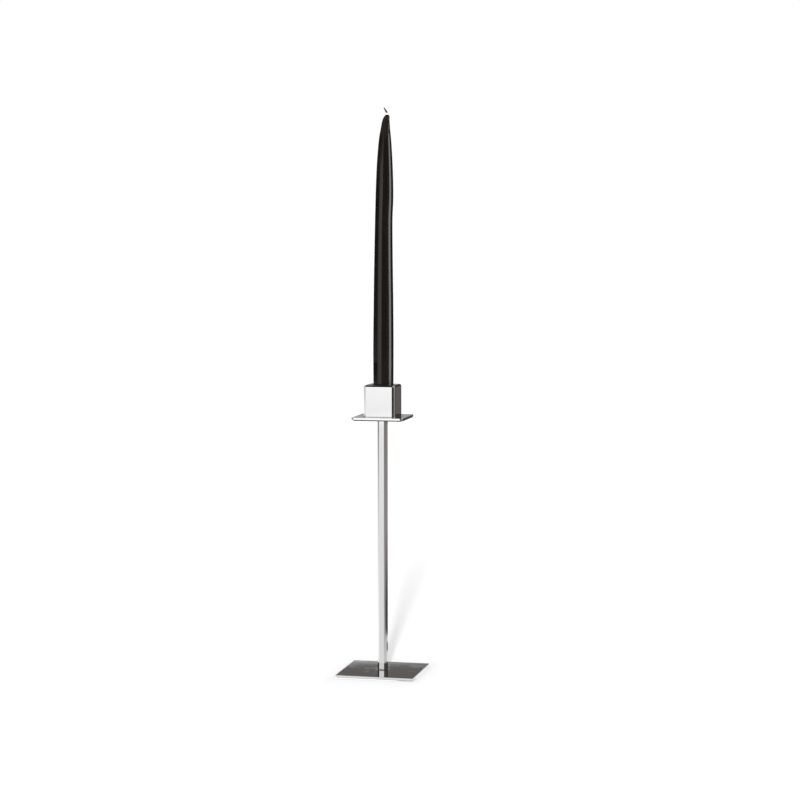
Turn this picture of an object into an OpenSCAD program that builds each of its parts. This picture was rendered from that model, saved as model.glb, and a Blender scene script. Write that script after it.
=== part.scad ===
// Square candlestick: a thin foot plate, a slim square stem, a drip plate and a cube-shaped cup
// with a round socket, holding a tapered candle that lifts out.
// Millimetres, +Z up. The origin is the centre of the felt pad's underside, on the table.
// The plates and the cup are square to X and Y, and -Y is the front.

/* [Foot] */
// Width and depth of the foot plate
foot_side = 85; // [70:1:120]
// Thickness of the foot plate
foot_thick = 2.5; // [2.5:0.1:5]
// Radius of the foot plate's four corners
foot_corner = 0.8; // [0.6:0.1:6]
// Thickness of the felt pad under the foot plate
pad_thick = 0.5; // [0.3:0.1:2]
// How far the pad stays back from the foot plate's edge
pad_inset = 2; // [1:0.5:8]

/* [Stem] */
// Outside width of the square stem tube
stem_side = 10; // [9:0.5:16]
// Radius of the stem tube's four long corners
stem_corner = 2.5; // [1.6:0.1:3]
// Wall of the stem tube
stem_wall = 1; // [0.6:0.1:1.2]
// Length of the stem tube
stem_length = 273.5; // [60:0.5:400]
// Length of the tapped plug in each end of the stem
plug_length = 12; // [10:1:20]

/* [Drip plate] */
// Width and depth of the drip plate
tray_side = 56.5; // [46:0.5:80]
// Thickness of the drip plate
tray_thick = 3.4; // [2.5:0.1:5]
// Radius of the drip plate's four corners
tray_corner = 3; // [1.5:0.1:6]
// Bevel around the drip plate's lower edge
tray_under_bevel = 1.2; // [0.3:0.1:1.6]

/* [Cup] */
// Width and depth of the cup
cup_side = 35; // [32:0.5:45]
// Height of the cup
cup_height = 34; // [33:0.5:50]
// Radius of the cup's four upright corners
cup_corner = 3.5; // [2:0.1:5]
// Bevel around the cup's top edge
cup_bevel = 1.5; // [0.4:0.1:1.8]
// Diameter of the round socket for the candle
socket_d = 23.2; // [23.2:0.1:24]
// Depth of the socket
socket_depth = 26; // [15:0.5:26]

/* [Candle] */
// Greatest diameter of the candle
candle_d = 22; // [18:0.1:22]
// Diameter of the candle's butt, inside the socket
butt_d = 20.8; // [16:0.1:20.8]
// Height of the candle's tip above the cup
candle_rise = 289; // [120:1:320]
// How far the tip leans off the upright
tip_lean = 3.9; // [0:0.1:6]
// How far the candle stands off the middle of its loose socket
candle_shift = 0.9; // [0:0.1:0.9]
// Direction of the shift and the lean, turned from +X towards +Y
lean_turn = 13; // [0:1:359]
// Diameter of the wick
wick_d = 1.8; // [1.2:0.1:2]

/* [Hidden] */
$fn = 64;

// Small softening of both plates' upper edges, and of the foot plate's and the cup's lower edges
edge_bevel = 0.3;

// A cut reaches this far past the face that it opens
past = 1;

// M4 fasteners, and how far each screw goes into its plug
thread_r = 2;
clear_r = 2.25;
head_r = 4;
head_rim = 0.2;
base_bite = 9.5;
cup_bite = 7.8;
hex_key = 2.5;
hex_depth = 1.2;
pan_height = 2.8;
pan_dome_r = 6.5;
cross_long = 4;
cross_wide = 0.9;
cross_depth = 1.5;
washer_r = 4.5;
washer_hole_r = 2.15;
washer_thick = 0.8;
// Round pocket in the socket's floor, which the cup screw's head lies in
pocket_r = 5;
pocket_depth = 4;
// Lead-in around the socket's mouth
mouth_bevel = 0.5;

// Heights, from the table up
foot_z = pad_thick;
stem_z = foot_z + foot_thick;
tray_z = stem_z + stem_length;
cup_z = tray_z + tray_thick;
rim_z = cup_z + cup_height;
socket_z = rim_z - socket_depth;
pocket_z = socket_z - pocket_depth;
cup_head_z = pocket_z + washer_thick;
base_screw_length = foot_thick + base_bite;
cup_screw_length = cup_head_z - tray_z + cup_bite;

// Unit vector of the candle's shift and lean
lean_way = [cos(lean_turn), sin(lean_turn), 0];

stem_bore_side = stem_side - 2 * stem_wall;
stem_bore_corner = stem_corner - stem_wall;

// The candle's shape where it changes: share of the rise, share of the diameter, share of the lean
candle_shape = [
  [0, 0.986, 0],
  [0.14, 1, 0],
  [0.31, 0.963, 0.03],
  [0.47, 0.9, 0.04],
  [0.61, 0.854, 0.12],
  [0.69, 0.866, 0.3],
  [0.76, 0.829, 0.36],
  [0.84, 0.735, 0.4],
  [0.91, 0.594, 0.47],
  [0.952, 0.444, 0.58],
  [0.98, 0.332, 0.7],
  [0.994, 0.24, 0.97],
  [1, 0.1, 1]
];
candle_steps = 2;
candle_sides = 32;
// The tapered part starts this far down in the socket, standing out this much from the butt
butt_overlap = 1;
butt_step = 0.1;
butt_bevel = 1;

// The wick's free end, above the candle's tip: height, and sideways place as a share of the lean
wick_end = [[1.8, 0.98], [4, 0.7], [6, 0.38], [7.7, 0.16]];
wick_sides = 12;
wick_tip_share = 0.45;

// ---------- shared shapes ----------

// Square outline with rounded corners, centred on the axis
module rounded_square(side, corner) {
  square([side - 2 * corner, side], center = true);
  square([side, side - 2 * corner], center = true);
  for (x = [-1, 1], y = [-1, 1])
    translate([x, y] * (side / 2 - corner))
      circle(r = corner);
}

// Rim that starts as a rounded square at z = 0 and draws in at 45 degrees
module bevel_rim(side, corner, bevel) {
  for (turn = [0, 90])
    rotate([90, 0, turn])
      linear_extrude(side - 2 * corner, center = true)
        polygon([[-side / 2, 0], [side / 2, 0], [side / 2 - bevel, bevel], [bevel - side / 2, bevel]]);
  for (x = [-1, 1], y = [-1, 1])
    translate([x, y] * (side / 2 - corner))
      cylinder(h = bevel, r1 = corner, r2 = corner - bevel);
}

// Square block with rounded upright corners and a bevel around each end
module bevelled_block(side, height, corner, top_bevel, bottom_bevel) {
  translate([0, 0, bottom_bevel])
    linear_extrude(height - top_bevel - bottom_bevel)
      rounded_square(side, corner);
  translate([0, 0, height - top_bevel])
    bevel_rim(side, corner, top_bevel);
  translate([0, 0, bottom_bevel])
    mirror([0, 0, 1])
      bevel_rim(side, corner, bottom_bevel);
}

// Square plug that fills the stem's bore, drilled for the M4 thread
module tapped_plug() {
  linear_extrude(plug_length)
    difference() {
      rounded_square(stem_bore_side, stem_bore_corner);
      circle(r = thread_r);
    }
}

// Smooth curve through b and c, whose neighbours are a and d
function curve(a, b, c, d, t) =
  (2 * b + (c - a) * t + (2 * a - 5 * b + 4 * c - d) * t * t + (3 * b - a - 3 * c + d) * t * t * t) / 2;

// A row of the candle's shape; past either end of the list it is the end row
function shape_row(i) = candle_shape[max(0, min(len(candle_shape) - 1, i))];

function shape_between(i, t) =
  curve(shape_row(i - 1), shape_row(i), shape_row(i + 1), shape_row(i + 2), t);

// A ring is [height, radius, distance that its centre is off the candle's upright]
function candle_ring(row) = [rim_z + candle_rise * row[0], candle_d / 2 * row[1], tip_lean * row[2]];

candle_rings = [
  for (i = [0 : len(candle_shape) - 2], k = [0 : candle_steps - 1])
    candle_ring(shape_between(i, k / candle_steps)),
  candle_ring(candle_shape[len(candle_shape) - 1])
];

function ring_points(ring, sides) = [
  for (k = [0 : sides - 1])
    ring[2] * lean_way + [ring[1] * cos(360 * k / sides), ring[1] * sin(360 * k / sides), ring[0]]
];

// Closed skin over a stack of level rings
module ring_stack(rings, sides) {
  top = len(rings) - 1;
  polyhedron(
    points = [for (ring = rings) each ring_points(ring, sides)],
    faces = [
      [for (k = [0 : sides - 1]) k],
      [for (k = [sides - 1 : -1 : 0]) top * sides + k],
      for (i = [0 : top - 1], k = [0 : sides - 1])
        [i * sides + k, (i + 1) * sides + k, i * sides + (k + 1) % sides],
      for (i = [0 : top - 1], k = [0 : sides - 1])
        [(i + 1) * sides + k, (i + 1) * sides + (k + 1) % sides, i * sides + (k + 1) % sides]
    ]
  );
}

// Rings of the wick inside the candle, then of its free end
function wick_rings(start_z) = concat(
  [[start_z, wick_d / 2, 0]],
  [for (ring = candle_rings) [ring[0], wick_d / 2, ring[2]]],
  [for (i = [0 : len(wick_end) - 1])
    [rim_z + candle_rise + wick_end[i][0],
     wick_d / 2 * (i == len(wick_end) - 1 ? wick_tip_share : 1),
     tip_lean * wick_end[i][1]]]
);

// ---------- foot ----------

module base_pad() {
  color("dimgray")
    linear_extrude(pad_thick)
      rounded_square(foot_side - 2 * pad_inset, foot_corner);
}

module base_plate() {
  color("silver")
    translate([0, 0, foot_z])
      difference() {
        bevelled_block(foot_side, foot_thick, foot_corner, edge_bevel, edge_bevel);
        translate([0, 0, -past])
          cylinder(h = foot_thick + 2 * past, r = clear_r);
        translate([0, 0, -past])
          cylinder(h = past + head_rim, r = head_r);
        translate([0, 0, head_rim])
          cylinder(h = head_r - clear_r, r1 = head_r, r2 = clear_r);
      }
}

// Countersunk head flush with the foot plate's underside, and a hexagon socket in it
module base_screw() {
  color("lightsteelblue")
    translate([0, 0, foot_z])
      difference() {
        union() {
          cylinder(h = head_rim, r = head_r);
          translate([0, 0, head_rim])
            cylinder(h = head_r - thread_r, r1 = head_r, r2 = thread_r);
          cylinder(h = base_screw_length, r = thread_r);
        }
        translate([0, 0, -past])
          cylinder(h = past + hex_depth, d = hex_key / cos(30), $fn = 6);
      }
}

// ---------- stem ----------

module stem_tube() {
  color("silver")
    translate([0, 0, stem_z])
      linear_extrude(stem_length)
        difference() {
          rounded_square(stem_side, stem_corner);
          rounded_square(stem_bore_side, stem_bore_corner);
        }
}

module stem_lower_plug() {
  color("slategray")
    translate([0, 0, stem_z])
      tapped_plug();
}

module stem_upper_plug() {
  color("slategray")
    translate([0, 0, tray_z - plug_length])
      tapped_plug();
}

// ---------- drip plate and cup ----------

module drip_plate() {
  color("silver")
    translate([0, 0, tray_z])
      difference() {
        bevelled_block(tray_side, tray_thick, tray_corner, edge_bevel, tray_under_bevel);
        translate([0, 0, -past])
          cylinder(h = tray_thick + 2 * past, r = clear_r);
      }
}

module candle_cup() {
  color("gainsboro")
    difference() {
      translate([0, 0, cup_z])
        bevelled_block(cup_side, cup_height, cup_corner, cup_bevel, edge_bevel);
      translate([0, 0, socket_z])
        cylinder(h = socket_depth + past, d = socket_d);
      translate([0, 0, rim_z - mouth_bevel])
        cylinder(h = mouth_bevel + past, d1 = socket_d, d2 = socket_d + 2 * (mouth_bevel + past));
      translate([0, 0, pocket_z])
        cylinder(h = pocket_depth + past, r = pocket_r);
      translate([0, 0, cup_z - past])
        cylinder(h = pocket_z - cup_z + 2 * past, r = clear_r);
    }
}

module cup_washer() {
  color("lightsteelblue")
    translate([0, 0, pocket_z])
      difference() {
        cylinder(h = washer_thick, r = washer_r);
        translate([0, 0, -past])
          cylinder(h = washer_thick + 2 * past, r = washer_hole_r);
      }
}

// Domed pan head with a cross recess, and the thread running down into the upper plug
module cup_screw() {
  color("lightsteelblue")
    translate([0, 0, cup_head_z])
      difference() {
        union() {
          intersection() {
            cylinder(h = pan_height, r = head_r);
            translate([0, 0, pan_height - pan_dome_r])
              sphere(r = pan_dome_r);
          }
          translate([0, 0, -cup_screw_length])
            cylinder(h = cup_screw_length + past, r = thread_r);
        }
        for (turn = [0, 90])
          rotate([0, 0, turn])
            translate([-cross_long / 2, -cross_wide / 2, pan_height - cross_depth])
              cube([cross_long, cross_wide, cross_depth + past]);
      }
}

// ---------- candle ----------

module candle() {
  color([0.1, 0.1, 0.09])
    translate(candle_shift * lean_way)
      difference() {
        union() {
          translate([0, 0, socket_z])
            cylinder(h = butt_bevel, d1 = butt_d - 2 * butt_bevel, d2 = butt_d);
          translate([0, 0, socket_z + butt_bevel])
            cylinder(h = socket_depth - butt_bevel, d = butt_d);
          ring_stack(
            concat([[rim_z - butt_overlap, butt_d / 2 + butt_step, 0]], candle_rings),
            candle_sides
          );
        }
        ring_stack(wick_rings(socket_z - past), wick_sides);
      }
}

module wick() {
  color("whitesmoke")
    translate(candle_shift * lean_way)
      ring_stack(wick_rings(socket_z), wick_sides);
}

base_pad();
base_plate();
base_screw();
stem_tube();
stem_lower_plug();
stem_upper_plug();
drip_plate();
candle_cup();
cup_washer();
cup_screw();
candle();
wick();
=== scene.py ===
"""Looks of a square silver candlestick with a black hand-dipped taper candle.

Everything is in metres, in the CAD model's frame. Each visible metal piece is a clean mesh with
exact normals that stands for its CAD node, so that the polished faces reflect without ripples.
"""

import math

import bpy
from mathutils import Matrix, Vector, noise


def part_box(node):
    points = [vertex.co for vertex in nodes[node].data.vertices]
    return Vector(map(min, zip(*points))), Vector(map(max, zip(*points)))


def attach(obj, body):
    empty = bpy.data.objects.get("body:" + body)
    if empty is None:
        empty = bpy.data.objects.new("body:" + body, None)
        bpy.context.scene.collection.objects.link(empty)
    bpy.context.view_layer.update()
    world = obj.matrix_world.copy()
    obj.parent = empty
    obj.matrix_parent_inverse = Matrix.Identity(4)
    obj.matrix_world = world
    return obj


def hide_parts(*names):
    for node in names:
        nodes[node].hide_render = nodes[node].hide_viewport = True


MM = 0.001

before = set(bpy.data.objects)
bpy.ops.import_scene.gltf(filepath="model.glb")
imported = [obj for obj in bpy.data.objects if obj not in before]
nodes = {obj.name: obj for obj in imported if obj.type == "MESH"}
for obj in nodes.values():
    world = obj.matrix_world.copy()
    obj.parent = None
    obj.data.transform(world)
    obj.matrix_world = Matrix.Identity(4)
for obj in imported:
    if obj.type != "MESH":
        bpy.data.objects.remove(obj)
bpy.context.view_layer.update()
scene = bpy.context.scene

# ---------- places and sizes, from the CAD nodes ----------

plate_low, plate_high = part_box("base_plate")
stem_low, stem_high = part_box("stem_tube")
tray_low, tray_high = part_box("drip_plate")
cup_low, cup_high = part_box("candle_cup")
pad_low, pad_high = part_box("base_pad")
candle_low, candle_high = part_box("candle")
washer_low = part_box("cup_washer")[0]

PLATE_HALF = plate_high.x
PLATE_CORNER = 0.8 * MM
STEM_HALF = stem_high.x
STEM_CORNER = 2.5 * MM
STEM_WALL = 1 * MM
TRAY_HALF = tray_high.x
TRAY_CORNER = 3 * MM
TRAY_UNDER_BEVEL = 1.2 * MM
CUP_HALF = cup_high.x
CUP_CORNER = 3.5 * MM
CUP_BEVEL = 1.5 * MM
EDGE_BEVEL = 0.3 * MM
SOCKET_RADIUS = 11.6 * MM
SOCKET_FLOOR = candle_low.z
MOUTH_BEVEL = 0.5 * MM
POCKET_RADIUS = 5 * MM
POCKET_FLOOR = washer_low.z
CLEARANCE_RADIUS = 2.25 * MM
SCREW_HEAD_RADIUS = 4 * MM
SCREW_HEAD_RIM = 0.2 * MM

# ---------- fine roundings, where the CAD solids have sharp edges or small bevels ----------

PLATE_EDGE_ROUND = EDGE_BEVEL
STEM_FOOT_ROUND = 0.45 * MM
STEM_TOP_ROUND = 0.3 * MM
BORE_ROUND = 0.12 * MM
TRAY_UNDER_ROUND = 0.2 * MM
TRAY_TOP_ROUND = 0.15 * MM
CUP_FOOT_ROUND = EDGE_BEVEL
CUP_SHOULDER_ROUND = 0.12 * MM
CUP_RIM_ROUND = 0.3 * MM
MOUTH_OUTER_ROUND = 0.15 * MM
MOUTH_INNER_ROUND = 0.2 * MM
SOCKET_FLOOR_ROUND = 0.25 * MM
POCKET_ROUND = 0.2 * MM
HOLE_ROUND = 0.1 * MM
CONE_ROUND = 0.08 * MM
HEAD_ROUND = 0.05 * MM
# How far the first level ring lies from an edge: beside a hole, the tube's bore, the tube's outer
# rounding and the cup's rim, and inside the outlines of the flat faces
HOLE_RING = 0.4 * MM
BORE_RING = 0.3 * MM
END_RING = 0.1 * MM
RIM_RING = 0.6 * MM
FACE_INSET = 2 * MM
PLATE_TOP_INSET = 0.75 * MM
TRAY_TOP_INSET = 1.2 * MM
CUP_FOOT_INSET = 0.8 * MM
# How dark the screw holes and the socket are, with dirt and painted shade
HOLE_DIRT_AND_SHADE = 0.5
SOCKET_DIRT_AND_SHADE = 0.1

# ---------- mesh helpers ----------

# Points on each quarter of a ring: round its corner, then along its side
CORNER_STEPS = 14
SIDE_STEPS = 22
RING_SIZE = 4 * (CORNER_STEPS + SIDE_STEPS)
SMALLEST_CORNER = 0.01 * MM
# Extra stations this far from each end of a straight run hold its shading flat
GUARDS = (0.15 * MM, 0.6 * MM, 2 * MM)
# The edge layer, which the metal wears by, falls off this fast beside a rounding
EDGE_FADE = 0.35 * MM


def square_ring(half, corner):
    """Points and level normals round a rounded square, the same count at every size."""
    corner = max(corner, SMALLEST_CORNER)
    straight = half - corner
    points = []
    for quarter in range(4):
        turn = quarter * math.pi / 2
        local = []
        for step in range(CORNER_STEPS + 1):
            angle = step / CORNER_STEPS * math.pi / 2
            normal = (math.cos(angle), math.sin(angle))
            local.append(((straight + corner * normal[0], straight + corner * normal[1]), normal))
        for step in range(1, SIDE_STEPS):
            along = straight * (1 - 2 * step / SIDE_STEPS)
            local.append(((along, half), (0.0, 1.0)))
        c, s = math.cos(turn), math.sin(turn)
        for (x, y), (nx, ny) in local:
            points.append(((x * c - y * s, x * s + y * c), (nx * c - ny * s, nx * s + ny * c)))
    return points


def circle_ring(radius, guide):
    """Points round a circle, each at the same bearing as its point of the guide ring."""
    points = []
    for (x, y), _ in guide:
        angle = math.atan2(y, x)
        normal = (math.cos(angle), math.sin(angle))
        points.append(((radius * normal[0], radius * normal[1]), normal))
    return points


def rounded_path(corners, arc_steps=5):
    """Path through (s, z, radius) corners, rounded, as (s, z, normal_s, normal_z, edge) stations.

    The solid lies to the left of the way the path runs. Edge is 1 on a rounding and fades
    away from it.
    """
    stations = []
    count = len(corners)
    ends = []
    for i, (s, z, radius) in enumerate(corners):
        here = Vector((s, z))
        if i in (0, count - 1) or radius == 0:
            ends.append((here, here, None))
            continue
        before = Vector(corners[i - 1][:2]) - here
        after = Vector(corners[i + 1][:2]) - here
        before.normalize()
        after.normalize()
        half_angle = before.angle(after) / 2
        cut = radius / math.tan(half_angle)
        middle = (before + after).normalized() * (radius / math.sin(half_angle))
        ends.append((here + before * cut, here + after * cut, here + middle))
    for i in range(count):
        enter, leave, centre = ends[i]
        if centre is not None:
            first = enter - centre
            last = leave - centre
            sweep = first.angle_signed(last)
            side = 1 if -sweep > 0 else -1
            for step in range(arc_steps + 1):
                turn = -sweep * step / arc_steps
                c, s = math.cos(turn), math.sin(turn)
                spoke = Vector((first.x * c - first.y * s, first.x * s + first.y * c))
                place = centre + spoke
                normal = spoke.normalized() * side
                stations.append((place.x, place.y, normal.x, normal.y, 1.0))
        if i + 1 < count:
            start = leave
            stop = ends[i + 1][0]
            length = (stop - start).length
            if length < 1e-9:
                continue
            along = (stop - start) / length
            normal = (along.y, -along.x)
            if centre is None:
                stations.append((start.x, start.y, normal[0], normal[1], 0.0))
            for share in GUARDS:
                if share * 2 < length:
                    place = start + along * share
                    edge = math.exp(-share / EDGE_FADE) if centre is not None else 0.0
                    stations.append((place.x, place.y, normal[0], normal[1], edge))
            for share in reversed(GUARDS):
                if share * 2 < length:
                    place = stop - along * share
                    edge = math.exp(-share / EDGE_FADE) if ends[i + 1][2] is not None else 0.0
                    stations.append((place.x, place.y, normal[0], normal[1], edge))
            if ends[i + 1][2] is None:
                stations.append((stop.x, stop.y, normal[0], normal[1], 0.0))
    return stations


def new_object(name, vertices, faces, normals=None, layers=None):
    """A smooth-shaded object, with its own normals and vertex layers where they are given."""
    mesh = bpy.data.meshes.new(name)
    mesh.from_pydata(vertices, [], faces)
    mesh.validate()
    mesh.polygons.foreach_set("use_smooth", [True] * len(mesh.polygons))
    for layer, values in (layers or {}).items():
        attribute = mesh.attributes.new(layer, "FLOAT", "POINT")
        attribute.data.foreach_set("value", values)
    if normals:
        mesh.normals_split_custom_set_from_vertices(normals)
    mesh.update()
    piece = bpy.data.objects.new(name, mesh)
    scene.collection.objects.link(piece)
    return piece


def ring_faces(count, size, first=0, closed=True):
    """Quads between neighbouring rings, and from the last ring back to the first one."""
    faces = []
    for i in range(count if closed else count - 1):
        here = first + i * size
        there = first + (i + 1) % count * size
        for k in range(size):
            after = (k + 1) % size
            faces.append((here + k, here + after, there + after, there + k))
    return faces


# The seam layer, by which dirt and painted shade darken the metal, is 1 at a joint line and falls
# off this fast above it
SEAM_FADE = 0.5 * MM
SEAM_CORE = 1.7
# Level rings this far outside a joint line, and how dark the joint is there with dirt and painted
# shade
SEAM_STEPS = ((6 * MM, 0.0), (2.5 * MM, 0.03), (1 * MM, 0.25), (0.4 * MM, 0.6), (0.05 * MM, 1.0))


def seam_level(z, seams):
    """The seam layer at height z on a face that meets joint lines at the given heights."""
    levels = [min(1.0, SEAM_CORE * math.exp(-abs(z - at) / SEAM_FADE)) for at in seams]
    return max(levels, default=0.0)


def seam_rings(half, corner, room):
    """Rings that close in on the outline of the part standing on this face."""
    return [(half + step, corner + step, seam) for step, seam in SEAM_STEPS if half + step < room]


class Turned:
    """A closed skin made of rings that run up the outside and down the inside of a part."""

    def __init__(self, name, half, corner):
        self.name = name
        self.half = half
        self.corner = corner
        self.vertices = []
        self.normals = []
        self.edges = []
        self.seams = []
        self.count = 0
        self.guide = square_ring(half, corner)

    def ring(self, ring, z, normal_s, normal_z, edge, seam):
        """One ring at height z, its normals tilted from level by normal_z."""
        for (x, y), (nx, ny) in ring:
            self.vertices.append((x, y, z))
            self.normals.append((nx * normal_s, ny * normal_s, normal_z))
            self.edges.append(edge)
            self.seams.append(seam)
        self.count += 1

    def square_path(self, corners, seams=(), half=None, corner=None):
        """Rings whose corner radius shrinks as they draw in from the nominal outline."""
        half = self.half if half is None else half
        corner = self.corner if corner is None else corner
        for s, z, ns, nz, edge in rounded_path(corners):
            ring = square_ring(s, corner - (half - s))
            self.ring(ring, z, ns, nz, edge, seam_level(z, seams))

    def square_cap(self, z, nz, rings):
        """Level rings on an end face: (half side, corner radius, seam)."""
        for half, corner, seam in rings:
            self.ring(square_ring(half, corner), z, 0.0, nz, 0.0, seam)

    def circle_path(self, corners, seam):
        """Round rings, for a hole or the socket."""
        for s, z, ns, nz, edge in rounded_path(corners):
            self.ring(circle_ring(s, self.guide), z, ns, nz, edge, seam)

    def build(self, body, node):
        """Make the object, which rides on its body in place of its CAD node."""
        piece = new_object(
            self.name, self.vertices, ring_faces(self.count, RING_SIZE), self.normals,
            {"edge": self.edges, "seam": self.seams},
        )
        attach(piece, body)
        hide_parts(node)
        return piece


# ---------- foot plate ----------

plate = Turned("foot_plate", PLATE_HALF, PLATE_CORNER)
bottom, top = plate_low.z, plate_high.z
plate.square_path([
    (PLATE_HALF - FACE_INSET, bottom, 0),
    (PLATE_HALF, bottom, PLATE_EDGE_ROUND),
    (PLATE_HALF, top, PLATE_EDGE_ROUND),
    (PLATE_HALF - PLATE_TOP_INSET, top, 0),
])
plate.square_cap(top, 1.0, seam_rings(STEM_HALF, STEM_CORNER, PLATE_HALF - FACE_INSET))
cone_top = bottom + SCREW_HEAD_RIM + SCREW_HEAD_RADIUS - CLEARANCE_RADIUS
plate.circle_path([
    (CLEARANCE_RADIUS + HOLE_RING, top, 0),
    (CLEARANCE_RADIUS, top, HOLE_ROUND),
    (CLEARANCE_RADIUS, cone_top, CONE_ROUND),
    (SCREW_HEAD_RADIUS, bottom + SCREW_HEAD_RIM, HEAD_ROUND),
    (SCREW_HEAD_RADIUS, bottom, HEAD_ROUND),
    (SCREW_HEAD_RADIUS + HOLE_RING, bottom, 0),
], seam=HOLE_DIRT_AND_SHADE)

# ---------- stem ----------

stem = Turned("stem", STEM_HALF, STEM_CORNER)
bottom, top = stem_low.z, stem_high.z
bore_half = STEM_HALF - STEM_WALL
stem.square_path([
    (STEM_HALF - STEM_FOOT_ROUND - END_RING, bottom, 0),
    (STEM_HALF, bottom, STEM_FOOT_ROUND),
    (STEM_HALF, top, STEM_TOP_ROUND),
    (STEM_HALF - STEM_TOP_ROUND - END_RING, top, 0),
], seams=(bottom, top))
stem.square_path([
    (bore_half + BORE_RING, top, 0),
    (bore_half, top, BORE_ROUND),
    (bore_half, bottom, BORE_ROUND),
    (bore_half + BORE_RING, bottom, 0),
], seams=(bottom, top), half=bore_half, corner=STEM_CORNER - STEM_WALL)

# ---------- drip plate ----------

tray = Turned("drip_plate_skin", TRAY_HALF, TRAY_CORNER)
bottom, top = tray_low.z, tray_high.z
under_stem = list(reversed(seam_rings(STEM_HALF, STEM_CORNER, TRAY_HALF - FACE_INSET)))
tray.square_cap(bottom, -1.0, under_stem)
tray.square_path([
    (TRAY_HALF - FACE_INSET, bottom, 0),
    (TRAY_HALF - TRAY_UNDER_BEVEL, bottom, TRAY_UNDER_ROUND),
    (TRAY_HALF, bottom + TRAY_UNDER_BEVEL, TRAY_UNDER_ROUND),
    (TRAY_HALF, top, TRAY_TOP_ROUND),
    (TRAY_HALF - TRAY_TOP_INSET, top, 0),
])
tray.square_cap(top, 1.0, seam_rings(CUP_HALF - EDGE_BEVEL, CUP_CORNER, TRAY_HALF - FACE_INSET))
tray.circle_path([
    (CLEARANCE_RADIUS + HOLE_RING, top, 0),
    (CLEARANCE_RADIUS, top, HOLE_ROUND),
    (CLEARANCE_RADIUS, bottom, HOLE_ROUND),
    (CLEARANCE_RADIUS + HOLE_RING, bottom, 0),
], seam=HOLE_DIRT_AND_SHADE)

# ---------- cup ----------

cup = Turned("cup", CUP_HALF, CUP_CORNER)
bottom, top = cup_low.z, cup_high.z
cup.square_path([
    (CUP_HALF - CUP_FOOT_INSET, bottom, 0),
    (CUP_HALF, bottom, CUP_FOOT_ROUND),
    (CUP_HALF, top - CUP_BEVEL, CUP_SHOULDER_ROUND),
    (CUP_HALF - CUP_BEVEL, top, CUP_RIM_ROUND),
    (CUP_HALF - CUP_BEVEL - RIM_RING, top, 0),
], seams=(bottom,))
cup.circle_path([
    (SOCKET_RADIUS + MOUTH_BEVEL + RIM_RING, top, 0),
    (SOCKET_RADIUS + MOUTH_BEVEL, top, MOUTH_OUTER_ROUND),
    (SOCKET_RADIUS, top - MOUTH_BEVEL, MOUTH_INNER_ROUND),
    (SOCKET_RADIUS, SOCKET_FLOOR, SOCKET_FLOOR_ROUND),
    (POCKET_RADIUS, SOCKET_FLOOR, POCKET_ROUND),
    (POCKET_RADIUS, POCKET_FLOOR, POCKET_ROUND),
    (CLEARANCE_RADIUS, POCKET_FLOOR, HOLE_ROUND),
    (CLEARANCE_RADIUS, bottom, HOLE_ROUND),
    (CLEARANCE_RADIUS + HOLE_RING, bottom, 0),
], seam=SOCKET_DIRT_AND_SHADE)

plate_piece = plate.build("holder", "base_plate")
stem_piece = stem.build("holder", "stem_tube")
tray_piece = tray.build("holder", "drip_plate")
cup_piece = cup.build("holder", "candle_cup")

# ---------- felt pad ----------

PAD_CELLS = 60
# How far the cut edge and the underside vary, and how finely (noise cells per metre)
FELT_RAG, RAG_FINENESS = 0.18 * MM, 900
FELT_LUMP, LUMP_FINENESS = 0.02 * MM, 1500


def felt_pad():
    """A cut square of felt: a fine grid with a lumpy underside and a ragged edge."""
    half = pad_high.x
    thick = pad_high.z - pad_low.z
    size = PAD_CELLS + 1
    vertices = []
    for level in (0, 1):
        for j in range(size):
            for i in range(size):
                x = (2 * i / PAD_CELLS - 1) * half
                y = (2 * j / PAD_CELLS - 1) * half
                rag = FELT_RAG * (1 + noise.noise(Vector((x, y, level * 3.0)) * RAG_FINENESS))
                keep_x = 1 - (rag / half if i in (0, PAD_CELLS) else 0)
                keep_y = 1 - (rag / half if j in (0, PAD_CELLS) else 0)
                lump = FELT_LUMP * (1 + noise.noise(Vector((x, y, 7.0)) * LUMP_FINENESS))
                z = pad_low.z + (thick if level else lump)
                vertices.append((x * keep_x, y * keep_y, z))
    faces = []
    for j in range(PAD_CELLS):
        for i in range(PAD_CELLS):
            a = j * size + i
            low = (a, a + size, a + size + 1, a + 1)
            faces.append(low)
            faces.append(tuple(size * size + k for k in reversed(low)))
    rim = list(range(PAD_CELLS))
    rim += [PAD_CELLS + j * size for j in range(PAD_CELLS)]
    rim += [PAD_CELLS * size + i for i in range(PAD_CELLS, 0, -1)]
    rim += [j * size for j in range(PAD_CELLS, 0, -1)]
    for k, a in enumerate(rim):
        b = rim[(k + 1) % len(rim)]
        faces.append((a, b, b + size * size, a + size * size))
    piece = new_object("felt_pad", vertices, faces)
    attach(piece, "holder")
    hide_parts("base_pad")
    return piece


pad_piece = felt_pad()

# ---------- candle ----------

CANDLE_RADIUS = 11 * MM
BUTT_RADIUS = 10.4 * MM
TIP_Z = candle_high.z
RIM_Z = cup_high.z
RISE = TIP_Z - RIM_Z
SHIFT = 0.9 * MM
LEAN = 3.9 * MM
LEAN_TURN = math.radians(13)
LEAN_WAY = Vector((math.cos(LEAN_TURN), math.sin(LEAN_TURN), 0))
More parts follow.
